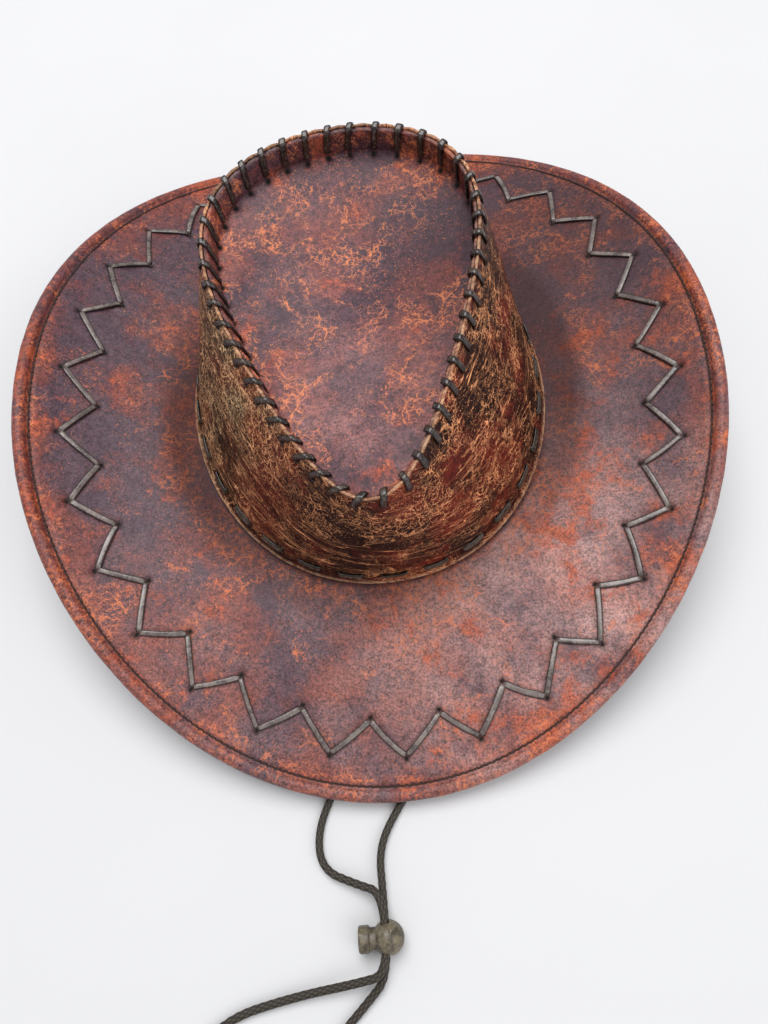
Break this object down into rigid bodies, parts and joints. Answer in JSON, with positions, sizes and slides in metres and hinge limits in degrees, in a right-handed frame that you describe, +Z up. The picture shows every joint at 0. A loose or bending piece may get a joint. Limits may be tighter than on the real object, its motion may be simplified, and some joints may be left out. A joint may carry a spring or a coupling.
{
  "type": "western hat",
  "caption": "Laced leather western hat with a wired, curled brim, a dished teardrop crown and a chin cord with a spring-button cord lock.",
  "frame": {"origin": "on the surface the hat stands on, under the middle of the brim's outline", "axes": "+Z up through the crown, -Y to the front of the hat, +X to the wearer's left"},
  "size_m": [0.337, 0.5107, 0.1184],
  "materials": {
    "brim_leather": "distressed plum brown with rust crackle, satin",
    "crown_leather": "distressed red brown with tan crackle, satin",
    "lining_leather": "dark brown, matt",
    "sweatband_leather": "brown, smooth",
    "lace": "dark grey brown, waxed",
    "thread": "dark brown waxed thread",
    "wire": "drawn spring steel",
    "sleeve": "crimped tube",
    "cord": "dark olive brown braid",
    "lock_plastic": "worn grey olive plastic",
    "spring_steel": "spring wire"
  },
  "bodies": {
    "hat": {"brim_top_leather": "brim_leather", "brim_under_leather": "lining_leather", "edge_wire": "wire", "edge_wire_sleeve": "sleeve", "edge_thread_top": "thread", "edge_thread_under": "thread", "brim_zigzag_lace": "lace", "crown_wall": "crown_leather", "crown_seam_stay": "lining_leather", "crown_seam_stitches": "thread", "crown_top_panel": "crown_leather", "ridge_whip_lace": "lace", "crown_base_lace": "lace", "sweatband": "sweatband_leather", "sweatband_thread": "thread", "cord_tab_left": "sweatband_leather", "cord_tab_right": "sweatband_leather", "chin_cord": "cord"},
    "cord_lock": {"cord_lock_body": "lock_plastic", "cord_lock_spring": "spring_steel"},
    "lock_button": {"cord_lock_button": "lock_plastic"}
  },
  "joints": [
    {"name": "lock_slide", "type": "slide", "parent": "hat", "child": "cord_lock", "axis": [0, 1, 0], "range_m": [0, 0.004]},
    {"name": "button_press", "type": "slide", "parent": "cord_lock", "child": "lock_button", "axis": [1, 0, 0], "range_m": [0, 0.0018], "stiffness_N_per_m": 800, "springref_m": -0.001, "deforming": ["cord_lock_spring"]}
  ]
}
